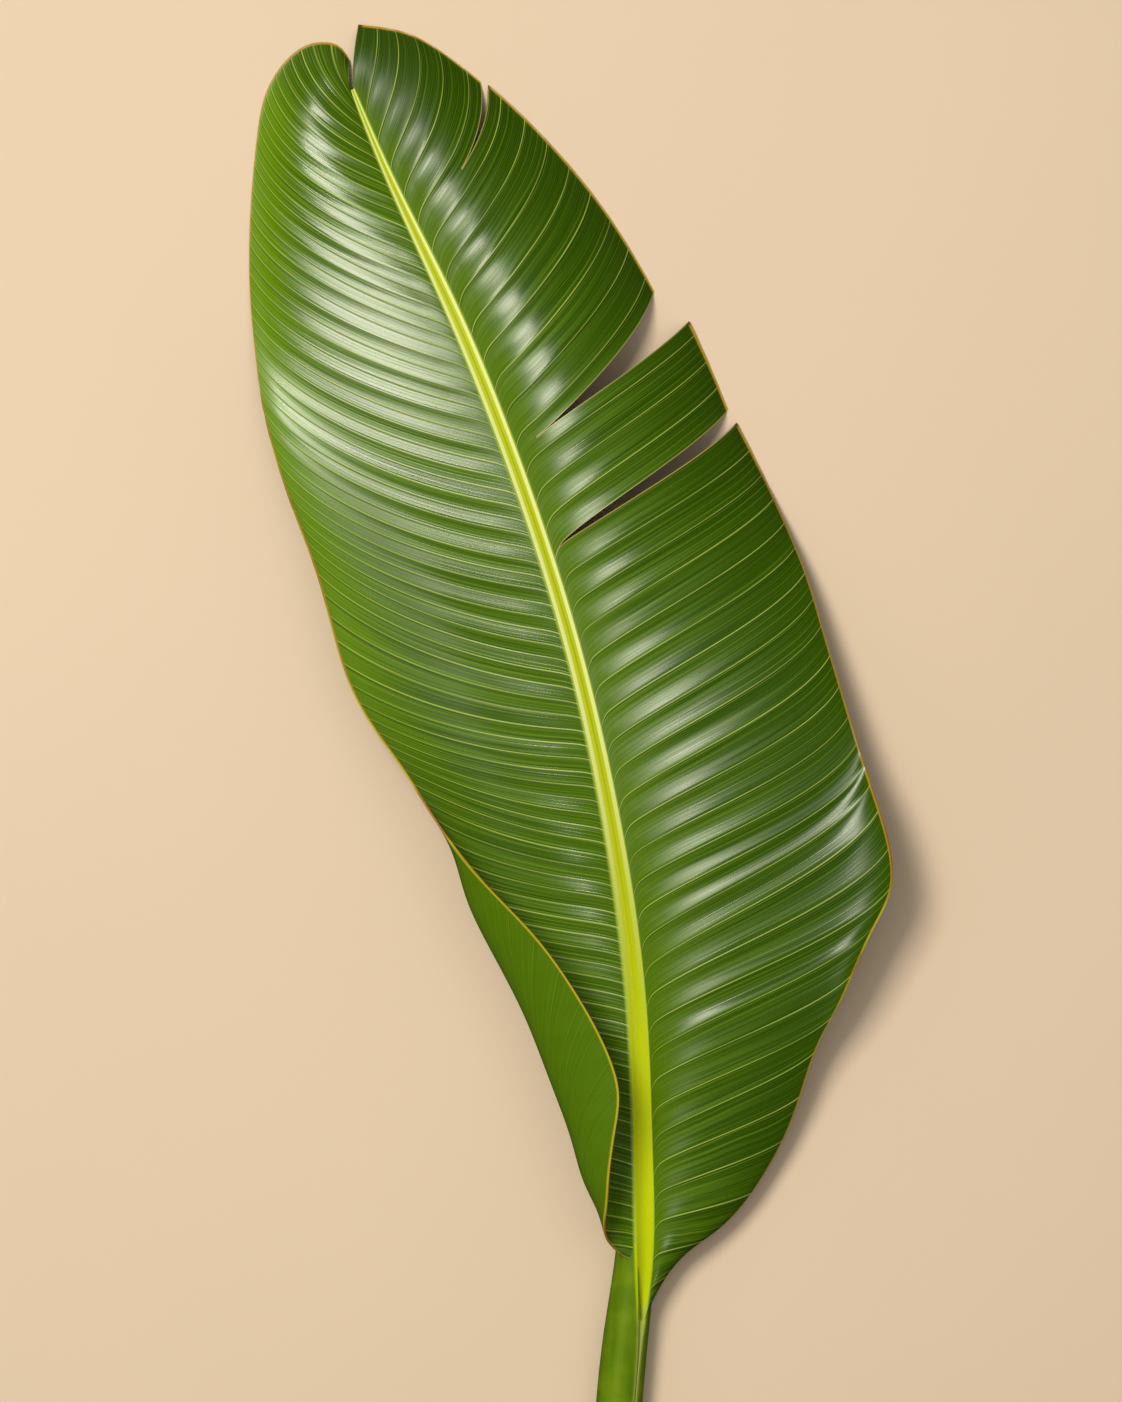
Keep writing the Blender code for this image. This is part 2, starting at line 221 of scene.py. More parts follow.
def rib_skin():
    """Cream rims, partly painted highlight, and a yellow-green channel on the blade, running into olive
    green skin with faint lengthwise streaks on the stalk and underneath. across runs from -1 to 1 over
    the groove and on past it round the stalk, and along is Y."""
    material, tree, shader = new_material("rib_skin")
    across, along = number(tree, "across"), number(tree, "along")
    off_centre = sum_of(tree, "ABSOLUTE", across)
    fibres = streaks(tree, sum_of(tree, "MULTIPLY", across, 9.0), sum_of(tree, "MULTIPLY", along, 0.02))
    mottle = streaks(tree, sum_of(tree, "MULTIPLY", across, 2.0), sum_of(tree, "MULTIPLY", along, 0.08))
    skin = blend(tree, fibres, (0.06, 0.14, 0.002, 1), (0.14, 0.25, 0.003, 1))
    skin = blend(tree, ramp(tree, mottle, 0.4, 0.75, 0, 0.5), skin, (0.20, 0.29, 0.004, 1))
    channel = blend(tree, fibres, (0.39, 0.46, 0.0004, 1), (0.50, 0.56, 0.0015, 1))
    channel = blend(tree, ramp(tree, along, 70.0, 220.0, 0.7, 0), channel, (0.60, 0.70, 0.001, 1))
    upper_half = ramp(tree, along, 120.0, 330.0)
    # The cream rims on the upper blade are partly pale rims and partly painted highlight from their gloss.
    rim_and_highlight_share = sum_of(tree, "MULTIPLY", ramp(tree, off_centre, 0.40, 0.62), upper_half)
    channel = blend(tree, rim_and_highlight_share, channel, (0.78, 0.82, 0.30, 1))
    from_pale = sum_of(tree, "ABSOLUTE", sum_of(tree, "ADD", across, 0.35))
    channel = blend(tree, ramp(tree, from_pale, 0.0, 0.22, 0.55, 0), channel, (0.58, 0.60, 0.04, 1))
    # Down the middle of the upper channel runs a thin dark line: painted shade at the bottom of the groove.
    from_dark = sum_of(tree, "ABSOLUTE", sum_of(tree, "SUBTRACT", across, 0.02))
    groove_painted_shade = sum_of(tree, "MULTIPLY", ramp(tree, from_dark, 0.04, 0.16, 0.6, 0), upper_half)
    channel = blend(tree, groove_painted_shade, channel, (0.20, 0.28, 0.001, 1))
    on_blade = ramp(tree, along, -6.0, 14.0)
    in_groove = ramp(tree, off_centre, 1.0, 1.06, 1, 0)
    groove_line = blend(tree, 0.6, skin, (0.42, 0.48, 0.10, 1))
    top = blend(tree, on_blade, groove_line, channel)
    tree.links.new(blend(tree, in_groove, skin, top), shader.inputs["Base Color"])
    shader.inputs["Roughness"].default_value = 0.42
    shader.inputs["Specular IOR Level"].default_value = 0.28
    shader.inputs["Specular Tint"].default_value = (1.0, 1.0, 0.3, 1)
    shader.inputs["Subsurface Weight"].default_value = 0.08
    shader.inputs["Subsurface Scale"].default_value = 0.004
    bump(tree, shader, fibres, 0.35, 0.0004)
    return material


def cut_flesh():
    """The cut end: pale, damp flesh dotted with the ends of its fibres."""
    material, tree, shader = new_material("cut_flesh")
    place = put(tree, "ShaderNodeTexCoord").outputs["Object"]
    dots = put(tree, "ShaderNodeTexVoronoi", {"Vector": place, "Scale": 900.0}).outputs["Distance"]
    dot = ramp(tree, dots, 0.12, 0.30, 1, 0)
    flesh = blend(tree, dot, (0.55, 0.62, 0.28, 1), (0.30, 0.30, 0.10, 1))
    tree.links.new(flesh, shader.inputs["Base Color"])
    shader.inputs["Roughness"].default_value = 0.35
    bump(tree, shader, dots, 0.4, 0.0003)
    return material


def rib_and_stalk():
    """Rings round the groove line. Each is an oval, given by its half width and depth, with a dip of
    depth x (1 - q squared) to the power 1.5 let into its top, where q runs from -1 to 1 across it. The
    underside is flat where it would sink into the surface."""
    rings, oval_points, dip_points = 560, 57, 19
    y = np.linspace(-STALK_LENGTH, BLADE_HEIGHT, rings)
    centre, across, up = rib_frames(y)
    groove, half, depth, groove_depth, _ = columns_of(RIB_SECTIONS, y)
    opening = np.arcsin(groove / half)
    tall = depth / (1 + np.cos(opening))
    turn = np.linspace(opening, 2 * np.pi - opening, oval_points, axis=1)
    q = np.linspace(-1, 1, dip_points)[1:-1] * np.ones((rings, 1))
    sideways = np.concatenate([half[:, None] * np.sin(turn), groove[:, None] * q], axis=1)
    dome = tall[:, None] * (np.cos(turn) - np.cos(opening)[:, None])
    upwards = np.concatenate([dome, -groove_depth[:, None] * (1 - q**2) ** 1.5], axis=1)
    points = centre[:, None] + sideways[..., None] * across[:, None] + upwards[..., None] * up[:, None]
    points[..., 2] = np.maximum(points[..., 2], 0)
    around = points.shape[1]
    ring_starts = np.arange(rings - 1)[:, None] * around
    here = ring_starts + np.arange(around)
    beside = ring_starts + (np.arange(around) + 1) % around
    walls = np.stack([here, beside, beside + around, here + around], axis=-1).reshape(-1, 4)
    cut_end = list(range(around))[::-1]
    tip_end = list(range((rings - 1) * around, rings * around))
    faces = [*walls.tolist(), cut_end, tip_end]
    round_half = 1 + np.linspace(0, 2, oval_points)
    signed = np.where(round_half <= 2, round_half, round_half - 4) * np.ones((rings, 1))
    numbers = {
        "across": np.concatenate([signed, q], axis=1).ravel(),
        "along": np.repeat(y, around),
    }
    looks = np.zeros(len(faces), int)
    looks[len(walls)] = 1
    materials = (rib_skin(), cut_flesh())
    return piece_from("rib_and_stalk", points.reshape(-1, 3), faces, numbers, materials, looks)


rib = rib_and_stalk()
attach(rib, "root")
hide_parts("leaf")


# The two halves of the blade.
# Each half is a leathery sheet, pleated along its veins like a fan and rooted in the side of the rib:
# glossy deep green above, duller below, with a fine yellow to orange edge. The right half is torn along
# three veins, and the lower left edge curls up and over, so that its underside shows.
SHEET_THICKNESS = 0.9  # as in the solid, where a real blade has about half of it

# Where the vein that leaves the rib at height Y meets the edge of the blade: (Y, edge X, edge Y).
LEFT_EDGE = (
    (2, -0.8, 6),
    (14, -2.2, 20),
    (24, -6.7, 29),
    (34, -14.5, 37),
    (42, -18.2, 45),
    (50, -17.4, 56),
    (60, -16.4, 70),
    (75, -13.8, 91),
    (97, -12.0, 114),
    (115, -18.0, 133),
    (135, -29.0, 154),
    (160, -49.0, 183),
    (188, -76.0, 212),
    (216, -99.4, 242),
    (235, -113.5, 264),
    (254, -125.5, 281),
    (280, -142.0, 311),
    (303, -153.0, 349),
    (341, -169.0, 394),
    (371, -180.3, 430),
    (410, -187.0, 470),
    (440, -189.3, 500),
    (474, -188.8, 535),
    (511, -185.9, 568),
    (530, -183.4, 584),
    (548, -178.4, 597),
    (562, -171.5, 606.5),
    (575, -162.0, 613.5),
    (583, -153.5, 615),
    (588, -145.8, 612.8),
    (592, -140.9, 606),
)
RIGHT_EDGE = (
    (2, 2.0, 5),
    (10, 7.5, 16),
    (18, 14.0, 26),
    (26, 24.0, 36),
    (34, 38.5, 47),
    (42, 51.5, 62),
    (50, 61.5, 78),
    (67, 73.8, 106),
    (84, 82.5, 133),
    (102, 93.5, 156),
    (121, 107.5, 189),
    (136, 116.8, 210),
    (149.6, 116.2, 229.5),
    (165, 110.5, 250),
    (191, 104.0, 270),
    (223, 95.0, 300),
    (255, 84.5, 335),
    (281, 77.0, 360),
    (320, 62.5, 395),
    (364, 43.0, 435),
    (411, 13.5, 488),
    (449, -14.0, 530),
    (484, -44.0, 565),
    (518, -76.1, 595),
    (543, -102.0, 614),
    (570, -122.0, 621.5),
    (592, -136.8, 623.5),
)
# Heights along a vein: (Y, first handle, second handle, edge).
LEFT_HEIGHTS = (
    (2, 17, 15, 13),
    (30, 22, 24, 26),
    (45, 24, 34, 42),
    (68, 23, 42, 54),
    (110, 18, 44, 58),
    (167, 14, 39, 56),
    (215, 13, 32, 46),
    (270, 15, 25, 36),
    (340, 19.5, 19, 22),
    (385, 22, 15, 11),
    (430, 23.5, 12.5, 2),
    (500, 19, 9.5, -0.5),
    (553, 16, 14, -1.5),
    (592, 9, 9, 0),
)
RIGHT_HEIGHTS = (
    (2, 19, 18, 16),
    (30, 26, 22, 14),
    (70, 34, 25, 21),
    (106, 42, 25, 38),
    (130, 44, 27, 45),
    (200, 42, 37, 32),
    (250, 39, 42, 23),
    (290, 39, 38, 12),
    (335, 41, 37, 1),
    (372, 42, 38, -1),
    (440, 41, 33, -1.5),
    (500, 30, 24, -1.5),
    (550, 19, 17, -1),
    (592, 9, 9, 0),
)
# How far the folded lower left edge reaches out past where it ends: (Y, reach).
LEFT_FOLD = (
    (2, 0),
    (34, 0),
    (42, 5),
    (50, 14),
    (60, 26),
    (75, 39),
    (97, 54),
    (135, 60),
    (160, 58),
    (188, 41),
    (205, 21),
    (222, 5),
    (240, 0),
    (592, 0),
)
# How a vein bends, by two handles, each a share of the chord long and turned by some degrees from it:
# (Y, first share, first turn, last share, last turn). The first turn is anticlockwise, and the last is
# towards the tip.
LEFT_BEND = (
    (2, 0.32, 5, 0.20, 0),
    (100, 0.35, 5, 0.25, 0),
    (200, 0.45, 10, 0.20, 5),
    (300, 0.45, 15, 0.20, 22),
    (400, 0.45, 17, 0.20, 36),
    (500, 0.45, 17, 0.22, 36),
    (560, 0.40, 20, 0.30, 32),
    (592, 0.40, 10, 0.30, 15),
)
RIGHT_BEND = (
    (2, 0.20, 0, 0.20, 10),
    (60, 0.22, 8, 0.20, 14),
    (150, 0.22, 9, 0.24, 27),
    (250, 0.22, 9, 0.24, 27),
    (364, 0.22, 4, 0.22, 15),
    (411, 0.22, -3, 0.25, 18),
    (470, 0.24, -6, 0.30, 24),
    (518, 0.25, -8, 0.38, 30),
    (570, 0.25, -4, 0.34, 24),
    (592, 0.32, 13, 0.30, -5),
)
# A vein leaves the rib along it, and swings out within a few millimetres: how far along, how fast.
ROOT_RISE = (1.5, 6.0)  # left, right
ROOT_SWING = 2.5
ROOT_REACH = 0.45  # how far out a sheet's root lies, as a share of the groove's half width
SUNK = 0.6  # how far below the groove it lies in the rib

# Pleats run out along the veins, with a ridge on each main vein. A tear runs along a ridge or valley.
PLEATS = 44
LOWEST_VEIN = 2.0  # height at which the first pleat leaves the rib
PLEAT_WIDTH = 11.0  # about how wide a pleat is halfway out
PLEAT_DEPTHS = (0.5, 1.15)  # left, right
TORN_PLEATS = (27, 30.5, 38.5)
TEAR_STARTS = (0.04, 0.16, 0.50)  # share of the way from the rib to the edge
TEAR_GROWTH = (0.65, 1.45, 1.0)  # below 1 a tear gapes early, above 1 it opens towards the edge
TEAR_LEAD = 0.04  # how far before its start the line of a tear shows, as a share of the way out
NO_TEAR = 99.0  # distance carried where no tear is near
# How far the two corners at each tear have drawn apart: (corner below, corner above), each X, Y, Z.
TEAR_CORNERS = (
    ((2.1, -3.1, 1.0), (-2.1, 3.1, -1.0)),
    ((8.6, -7.2, 1.5), (-8.2, 7.2, 0.0)),
    ((1.7, -0.7, 1.0), (-1.7, 0.7, 0.0)),
)
TABLE_CLEARANCE = 0.62  # lowest that the upper face of the blade comes
TABLE_SOFTNESS = 1.2  # over this height the sagging edge flattens out on the surface


def on_surface(z):
    """Heights with the part that would sink into the surface flattened onto it, by a hyperbola that
    follows the surface below it and the height itself above it."""
    over = z - TABLE_CLEARANCE
    return TABLE_CLEARANCE + 0.5 * (over + np.sqrt(over**2 + TABLE_SOFTNESS**2))


def blade_points(side, y, s):
    """The upper face of one half of the blade, side -1 left or +1 right. A vein is a cubic curve from
    the rib at height y, where s is 0, to the edge, where s is 1, and y and s are arrays of one shape.
    The plan is worked out with X as the real part and Y as the imaginary one."""
    centre, across, _ = rib_frames(y)
    half_width = columns_of(RIB_SECTIONS, y)[0]
    root = centre + across * (side * half_width)[..., None]
    edge_x, edge_y = columns_of(LEFT_EDGE if side < 0 else RIGHT_EDGE, y)
    bend = columns_of(LEFT_BEND if side < 0 else RIGHT_BEND, y)
    first_share, first_turn, last_share, last_turn = bend
    heights = columns_of(LEFT_HEIGHTS if side < 0 else RIGHT_HEIGHTS, y)
    rise = ROOT_RISE[int(side > 0)] * np.clip((BLADE_HEIGHT - y) / 60, 0, 1) * np.clip(y / 40, 0, 1)
    start = root[..., 0] + 1j * (root[..., 1] + rise)
    end = edge_x + 1j * edge_y
    chord = end - start
    first = start + first_share * chord * np.exp(1j * np.radians(first_turn))
    last = end - last_share * chord * np.exp(1j * side * np.radians(last_turn))
    if side < 0:
        fold = np.maximum(columns_of(LEFT_FOLD, y)[0], 0)
        first = first - 0.5 * fold
        last = last - fold
    weights = ((1 - s) ** 3, 3 * s * (1 - s) ** 2, 3 * s**2 * (1 - s), s**3)
    plan = sum(w * p for w, p in zip(weights, (start, first, last, end)))
    plan -= 1j * rise * np.exp(-s * np.abs(chord) / ROOT_SWING) * (1 - s)
    z = sum(w * p for w, p in zip(weights, (root[..., 2], *heights)))
    return np.stack([plan.real, plan.imag, on_surface(z)], axis=-1)


def pleat_heights(side, pleat, s, depths):
    """A sharp ridge on each main vein, a long gentle fall from it towards the tip and a short rise to
    the next one: a fan of pleats that fades out at the rib and is softer at the edge. depths gives each
    pleat its own share of the depth."""
    part = (pleat % 1) ** 1.45
    own = depths[np.minimum(pleat.astype(int), PLEATS - 1)]
    valley = 0.5 - np.sin(np.pi * part) ** 0.85
    return PLEAT_DEPTHS[int(side > 0)] * own * valley * np.clip(s / 0.10, 0, 1) * (1 - 0.5 * s)


def half_surface(side, rows_a_pleat, columns):
    """One half's upper face as strips of a grid, which share their points up to where a tear starts.
    From there both strips draw apart, by the corner's move x the way along the tear to the power of
    its growth. Returns the points, the faces and the values that the points carry, with distances in
    millimetres from the rib, the edge, the nearest tear and the strip's upper corner."""
    ends = [0, *TORN_PLEATS, PLEATS] if side > 0 else [0, PLEATS]
    count = len(ends) - 1
    moves = [[(0.0, 0.0, 0.0), (0.0, 0.0, 0.0)] for _ in range(count)]
    starts = [[0.5, 0.5] for _ in range(count)]
    growths = [[1.0, 1.0] for _ in range(count)]
    for k in range(count - 1):
        moves[k][1], moves[k + 1][0] = TEAR_CORNERS[k]
        starts[k][1] = starts[k + 1][0] = TEAR_STARTS[k]
        growths[k][1] = growths[k + 1][0] = TEAR_GROWTH[k]
    # Columns lie closer beside the rib and the edge, where a vein bends most.
    even = np.linspace(0, 1, columns)
    shares = 0.55 * even + 0.45 * (0.5 - 0.5 * np.cos(np.pi * even))
    depths = np.random.default_rng(5).uniform(0.5, 1.0, PLEATS)
    places, faces, values, used, last_row = [], [], [], 0, None
    for k in range(count):
        low, high = ends[k], ends[k + 1]
        pleat = np.linspace(low, high, int((high - low) * rows_a_pleat) + 1)
        heights = LOWEST_VEIN + (BLADE_HEIGHT - LOWEST_VEIN) * pleat / PLEATS
        y, s = np.meshgrid(heights, shares, indexing="ij")
        points = blade_points(side, y, s)
        points[..., 2] += pleat_heights(side, pleat[:, None], s, depths)
        across_strip = ((pleat - low) / (high - low))[:, None]
        torn_near = np.full(s.shape, NO_TEAR)
        for end, share in ((0, 1 - across_strip), (1, across_strip)):
            start = starts[k][end]
            torn = np.clip((s - start) / (1 - start), 0, 1) ** growths[k][end]
            points += (share * torn)[..., None] * np.array(moves[k][end])
            if any(moves[k][end]):
                from_tear = (1 - share) * (high - low) * PLEAT_WIDTH
                torn_near = np.minimum(torn_near, np.where(s > start - TEAR_LEAD, from_tear, NO_TEAR))
        points[..., 2] = np.maximum(points[..., 2], TABLE_CLEARANCE)
        from_tip = np.linalg.norm(points - points[-1, -1], axis=-1)
        step = np.linalg.norm(np.diff(points, axis=1), axis=-1)
        travelled = np.concatenate([np.zeros((len(pleat), 1)), np.cumsum(step, axis=1)], axis=1)
        centre, across, up = rib_frames(heights)
        groove, _, _, groove_depth, _ = columns_of(RIB_SECTIONS, heights)
        outward = side * ROOT_REACH * groove
        rooted = centre + across * outward[:, None] - up * (groove_depth + SUNK)[:, None]
        points = np.concatenate([rooted[:, None], points], axis=1)
        wide = points.shape[1]
        index = used + np.arange(len(pleat) * wide).reshape(len(pleat), wide)
        if last_row is not None:
            together = 1 + np.searchsorted(shares, starts[k][0], side="right")
            index[0, :together] = last_row[:together]
        last_row = index[-1]
        used += len(pleat) * wide
        quads = np.stack([index[:-1, :-1], index[:-1, 1:], index[1:, 1:], index[1:, :-1]], axis=-1)
        faces.append(quads.reshape(-1, 4))
        places.append(points.reshape(-1, 3))
        from_edge = travelled[:, -1:] - travelled
        carried = (pleat[:, None] + 0 * s, s, travelled, from_edge, torn_near, from_tip)
        values.append(np.stack([np.pad(v, ((0, 0), (1, 0)), "edge").ravel() for v in carried]))
    faces = np.concatenate(faces)
    if side < 0:
        faces = faces[:, ::-1]
    kept, faces = np.unique(faces, return_inverse=True)
    values = np.concatenate(values, axis=1)[:, kept]
    words = ("pleat", "share", "from_rib", "from_edge", "from_tear", "from_tip")
    return np.concatenate(places)[kept], faces.reshape(-1, 4), dict(zip(words, values))


def thick_sheet(points, faces):
    """A sheet's points and faces with its underside and rim added. The underside lies one thickness
    below along the points' normals, and the rim closes the edges that one face only has."""
    corners = points[faces]
    facing = np.cross(corners[:, 2] - corners[:, 0], corners[:, 3] - corners[:, 1])
    normals = np.zeros_like(points)
    for k in range(4):
        np.add.at(normals, faces[:, k], facing)
    normals /= np.linalg.norm(normals, axis=1, keepdims=True)
    under = points - SHEET_THICKNESS * normals
    under[:, 2] = np.maximum(under[:, 2], 0)
    count = len(points)
    edges = np.concatenate([faces[:, [k, (k + 1) % 4]] for k in range(4)])
    one_way = edges[:, 0] * count + edges[:, 1]
    other_way = edges[:, 1] * count + edges[:, 0]
    rim = edges[~np.isin(one_way, other_way)]
    rim_faces = np.stack([rim[:, 1], rim[:, 0], rim[:, 0] + count, rim[:, 1] + count], axis=-1)
    looks = np.repeat([0, 1, 2], [len(faces), len(faces), len(rim_faces)])
    all_faces = np.concatenate([faces, faces[:, ::-1] + count, rim_faces])
    return np.concatenate([points, under]), all_faces, looks


def vein_pattern():
    """The pattern of the veins, which both faces of the blade use: a pale line along each main vein with
    a dark one on its lower side, which the faces paint as shadow, three finer lines between two, a grain
    of still finer ones, and streaks along them all. Width is 1, or 2 where Pleat counts twice as fast,
    which keeps the lines as wide and the grain as fine."""
    tree = bpy.data.node_groups.new("vein_pattern", "ShaderNodeTree")
    for word in ("Pleat", "Share", "Width"):
        tree.interface.new_socket(word, in_out="INPUT", socket_type="NodeSocketFloat")
    for word in ("Main", "Shade", "Fine", "Finer", "Streak"):
        tree.interface.new_socket(word, in_out="OUTPUT", socket_type="NodeSocketFloat")
    given = tree.nodes.new("NodeGroupInput").outputs
    result = tree.nodes.new("NodeGroupOutput").inputs
    pleat, share = given["Pleat"], given["Share"]

    def line(at, width):
        """1 on a whole number of at, falling to 0 within width on both sides."""
        reach = sum_of(tree, "MULTIPLY", given["Width"], width)
        return ramp(tree, sum_of(tree, "PINGPONG", at, 0.5), 0.0, reach, 1, 0)

    def patches(across, along):
        """Slow noise over the blade, with so many patches to a pleat and from the rib to the edge."""
        scaled = sum_of(tree, "MULTIPLY", pleat, across), sum_of(tree, "MULTIPLY", share, along)
        return streaks(tree, *scaled, 1.0)

    wavering = sum_of(tree, "MULTIPLY_ADD", patches(0.9, 2.2), 0.15, pleat)
    strong = ramp(tree, patches(1.7, 1.5), 0.35, 0.65, 0.5, 1)
    tree.links.new(sum_of(tree, "MULTIPLY", line(pleat, 0.032), strong), result["Main"])
    below = sum_of(tree, "MULTIPLY_ADD", given["Width"], 0.05, pleat)
    tree.links.new(line(below, 0.045), result["Shade"])
    fourth = sum_of(tree, "MULTIPLY", wavering, 4.0)
    nearest = sum_of(tree, "MULTIPLY", sum_of(tree, "ROUND", fourth), 3.7)
    own = ramp(tree, streaks(tree, nearest, share, 0.0), 0.35, 0.68, 0.1, 1)
    tree.links.new(sum_of(tree, "MULTIPLY", line(fourth, 0.09), own), result["Fine"])
    even = sum_of(tree, "DIVIDE", wavering, given["Width"])
    tree.links.new(line(sum_of(tree, "MULTIPLY", even, 14.0), 0.35), result["Finer"])
    streak = streaks(tree, sum_of(tree, "MULTIPLY", even, 10.0), share, 1.0)
    tree.links.new(streak, result["Streak"])
    return tree


def lined(tree, green, veins, lines):
    """A green with lines of the pattern laid over it, each as (name, strength, colour)."""
    for word, strength, colour in lines:
        green = blend(tree, sum_of(tree, "MULTIPLY", veins[word], strength), green, colour)
    return green


def blade_upper(name, side, pattern):
    """The glossy upper face of one half, yellower or darker by place. The left half has two main veins
    to a pleat, and its margin is lighter yellow-green, painted as light shining through the thin edge;
    the right half darkens outwards as painted shade, and has dried corners. Both tips are darkened as
    painted shade where they bend away from the light."""
    material, tree, shader = new_material(name)
    pleat, share = number(tree, "pleat"), number(tree, "share")
    from_rib, from_edge, from_tear = (number(tree, w) for w in ("from_rib", "from_edge", "from_tear"))
    veins = put(tree, "ShaderNodeGroup", {}, node_tree=pattern)
    veins_a_pleat = 2.0 if side < 0 else 1.0
    tree.links.new(sum_of(tree, "MULTIPLY", pleat, veins_a_pleat), veins.inputs["Pleat"])
    tree.links.new(share, veins.inputs["Share"])
    veins.inputs["Width"].default_value = veins_a_pleat
    veins = veins.outputs
    streak = ramp(tree, veins["Streak"], 0.3, 0.7)
    green = blend(tree, streak, (0.024, 0.070, 0.0003, 1), (0.074, 0.160, 0.0006, 1))
    rough = ramp(tree, veins["Streak"], 0.3, 0.75, *((0.16, 0.27) if side < 0 else (0.20, 0.33)))
    if side < 0:
        # The outer left margin is lighter yellow-green: painted light, as if shining through the thin edge.
        outer_light_and_shade = sum_of(tree, "MULTIPLY", ramp(tree, share, 0.45, 1.0), ramp(tree, pleat, 12.0, 24.0))
        outer_light_and_shade = sum_of(tree, "MULTIPLY", outer_light_and_shade, ramp(tree, pleat, 40.0, 43.0, 1, 0))
        green = blend(tree, sum_of(tree, "MULTIPLY", outer_light_and_shade, 0.75), green, (0.16, 0.32, 0.001, 1))
        # The top left lobe is darker: painted shade, where it bends away from the light.
        lobe_shade = ramp(tree, pleat, 40.0, 42.5, 0, 0.6)
        green = blend(tree, lobe_shade, green, (0.024, 0.064, 0.0006, 1))
        lower = ramp(tree, pleat, 25.0, 30.0, 0.25, 0)
        rough = sum_of(tree, "MULTIPLY_ADD", ramp(tree, share, 0.25, 0.5), lower, rough)
        rough = sum_of(tree, "ADD", rough, ramp(tree, from_edge, 4.0, 18.0, 0.3, 0))
    else:
        # The outer right half is darker: painted shade, where the blade turns away from the light.
        outer_light_and_shade = sum_of(tree, "MULTIPLY", ramp(tree, share, 0.25, 0.8), ramp(tree, pleat, 1.0, 5.0))
        green = blend(tree, sum_of(tree, "MULTIPLY", outer_light_and_shade, 0.75), green, (0.016, 0.053, 0.0005, 1))
        # The top right lobe is darker: painted shade, where it bends away from the light.
        lobe_shade = ramp(tree, pleat, 32.0, 41.0, 0, 0.6)
        green = blend(tree, lobe_shade, green, (0.018, 0.050, 0.0005, 1))
        inner = ramp(tree, share, 0.02, 0.4, 0.6, 0)
        green = blend(tree, inner, green, (0.105, 0.205, 0.001, 1))
        rough = sum_of(tree, "ADD", rough, ramp(tree, share, 0.10, 0.40, 0.08, 0))
        rough = sum_of(tree, "ADD", rough, ramp(tree, pleat, 39.5, 42.0, 0, 0.15))
    rough = sum_of(tree, "MULTIPLY_ADD", veins["Shade"], 0.30, rough)
    rough = sum_of(tree, "MULTIPLY_ADD", veins["Main"], 0.20, rough)
    # The Shade line is painted shadow below each vein; the others are the veins' own colour.
    lines = (
        ("Shade", 0.85, (0.010, 0.030, 0.0004, 1)),
        ("Finer", 0.24, (0.13, 0.24, 0.004, 1)),
        ("Fine", 0.7 if side < 0 else 0.5, (0.20, 0.34, 0.014, 1)),
        ("Main", 0.85, (0.46, 0.60, 0.07, 1)),
    )
    green = lined(tree, green, veins, lines)
    # A pale band along the rib: painted glow, standing in for the gloss at the rib's edge.
    painted_rib_glow = ramp(tree, from_rib, 0.0, 2.2, 0.85, 0)
    green = blend(tree, painted_rib_glow, green, (0.44, 0.56, 0.06, 1))
    edge = ramp(tree, from_edge, 0.7, 1.5, 1, 0)
    green = blend(tree, edge, green, (0.40, 0.24, 0.008, 1))
    # The pale line along each tear is the dry torn edge, made paler as painted light where the lit floor
    # would show through.
    torn = ramp(tree, from_tear, 0.15, 0.5, 0.8, 0)
    green = blend(tree, torn, green, (0.42, 0.36, 0.10, 1))
    if side > 0:
        dried = ramp(tree, number(tree, "from_tip"), 0.8, 3.0, 0.9, 0)
        green = blend(tree, dried, green, (0.045, 0.020, 0.005, 1))
    tree.links.new(green, shader.inputs["Base Color"])
    tree.links.new(rough, shader.inputs["Roughness"])
    shader.inputs["Specular IOR Level"].default_value = 0.42
    shader.inputs["Specular Tint"].default_value = (1.0, 1.0, 0.9, 1)
    height = sum_of(tree, "MULTIPLY_ADD", veins["Streak"], 0.6, sum_of(tree, "MULTIPLY", veins["Main"], 0.7))
    height = sum_of(tree, "MULTIPLY_ADD", veins["Fine"], 0.3, height)
    height = sum_of(tree, "MULTIPLY_ADD", veins["Shade"], -0.2, height)
    bump(tree, shader, height, 0.17, 0.0004)
    return material


